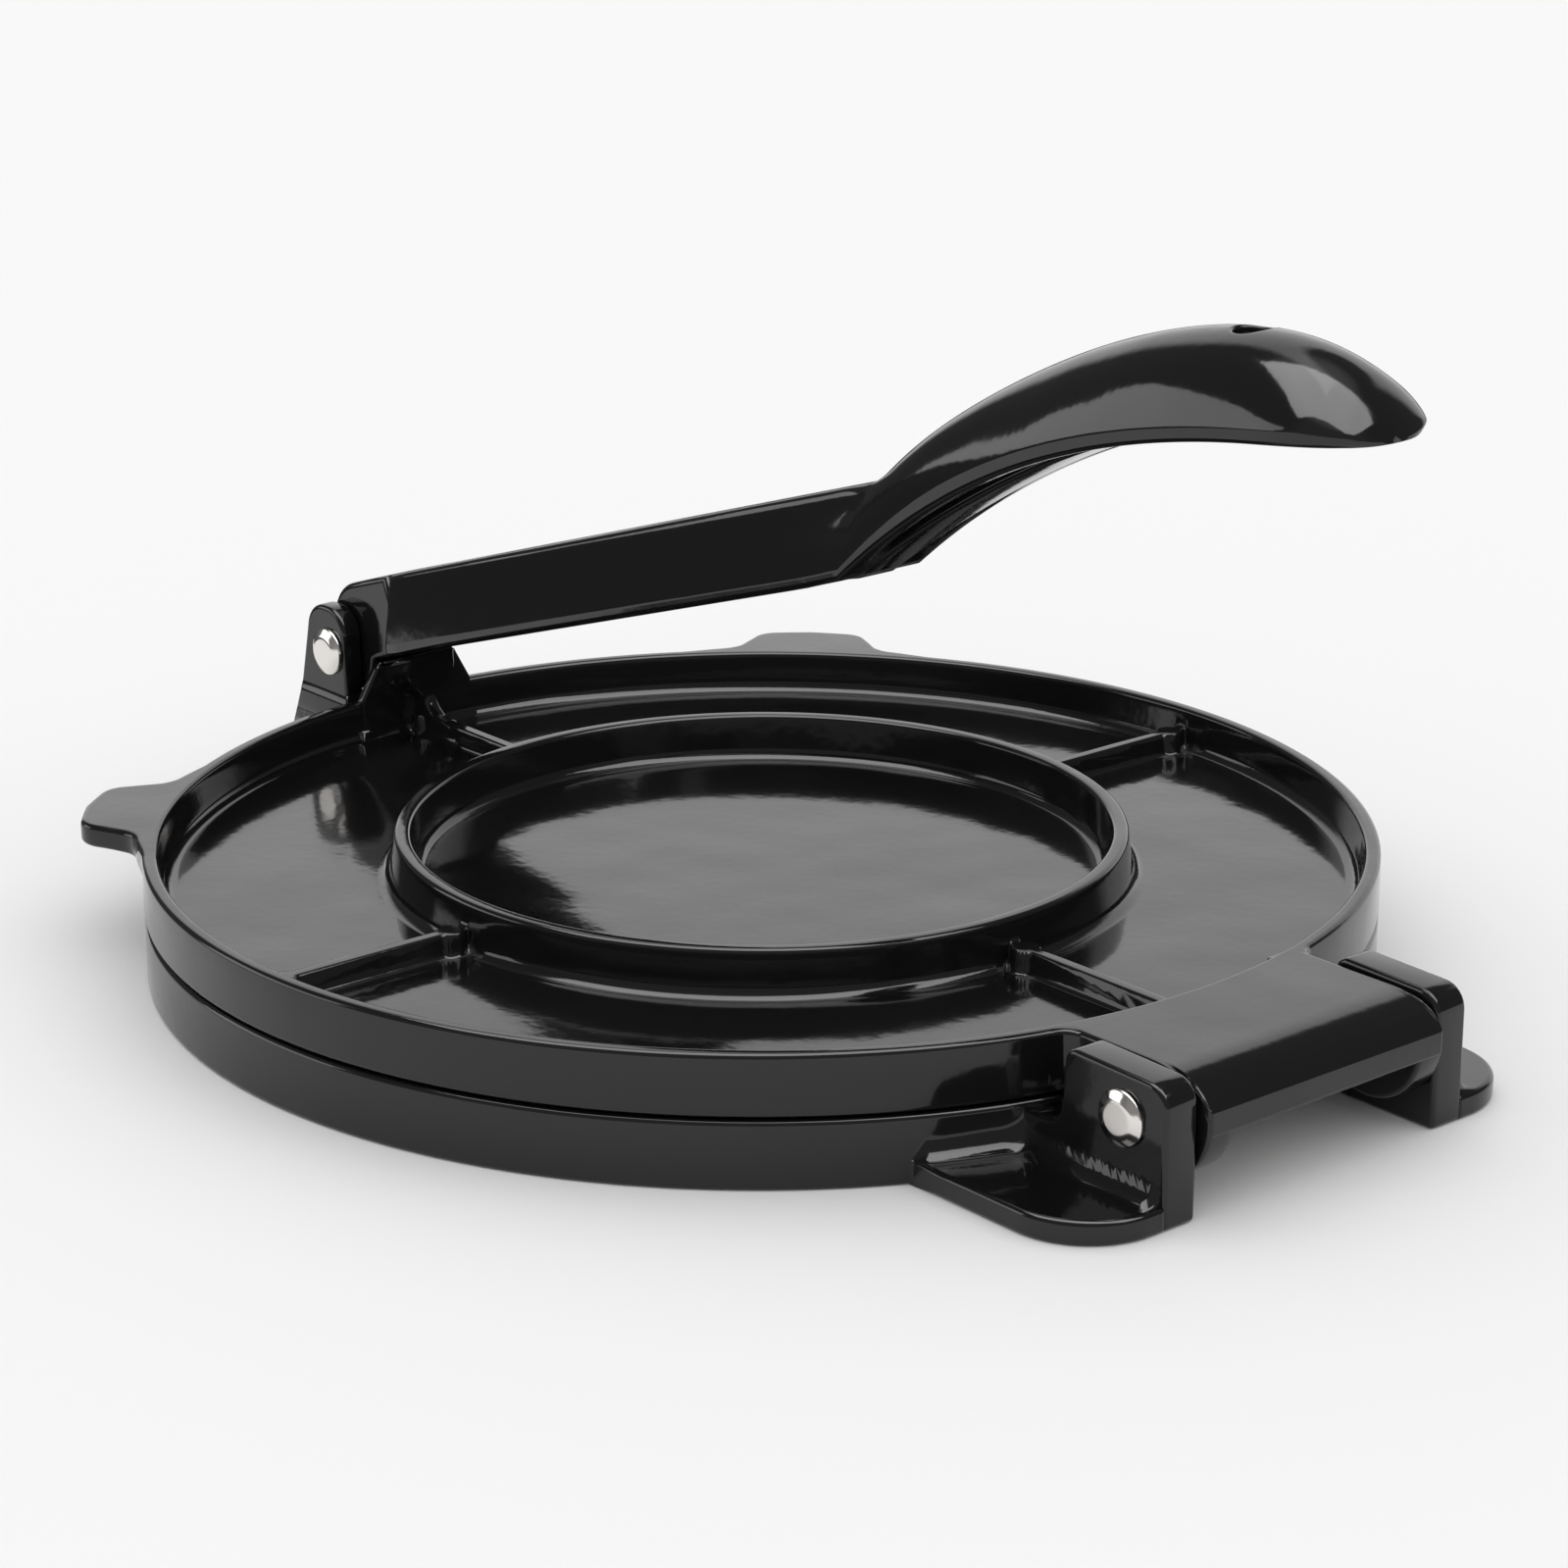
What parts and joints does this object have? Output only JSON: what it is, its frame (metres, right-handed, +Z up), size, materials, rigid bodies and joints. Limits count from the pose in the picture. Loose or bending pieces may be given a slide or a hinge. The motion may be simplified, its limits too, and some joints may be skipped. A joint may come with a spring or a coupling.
{
  "type": "tortilla press",
  "caption": "Hinged round press: two ribbed plates, a hinge cover between foot lugs, and a long pivoting lever with a domed handle that bears on a ramp.",
  "frame": {"origin": "centre of the round plates, on the table under the base plate", "axes": "+X from the plates' centre to the plate hinge, +Y along both hinge axes, +Z up"},
  "size_m": [0.265, 0.21, 0.1269],
  "materials": {
    "black_coat": "high gloss black coat on cast aluminium",
    "nickel": "bright nickel plate on steel"
  },
  "bodies": {
    "base": {"base_plate": "black_coat", "hinge_rivet": "nickel", "lever_rivet": "nickel"},
    "plate": {"top_plate": "black_coat"},
    "lever": {"press_lever": "black_coat"}
  },
  "joints": [
    {"name": "lever_lift", "type": "hinge", "parent": "base", "child": "lever", "pos_m": [-0.1118, 0, 0.0298], "axis": [0, -1, 0], "range_deg": [0, 162]},
    {"name": "plate_open", "type": "hinge", "parent": "base", "child": "plate", "pos_m": [0.1207, 0, 0.0155], "axis": [0, 1, 0], "range_deg": [0, 9]}
  ],
  "couplings": [
    {"joint": "plate_open", "follows": "lever_lift", "ratio": 0.0555}
  ]
}
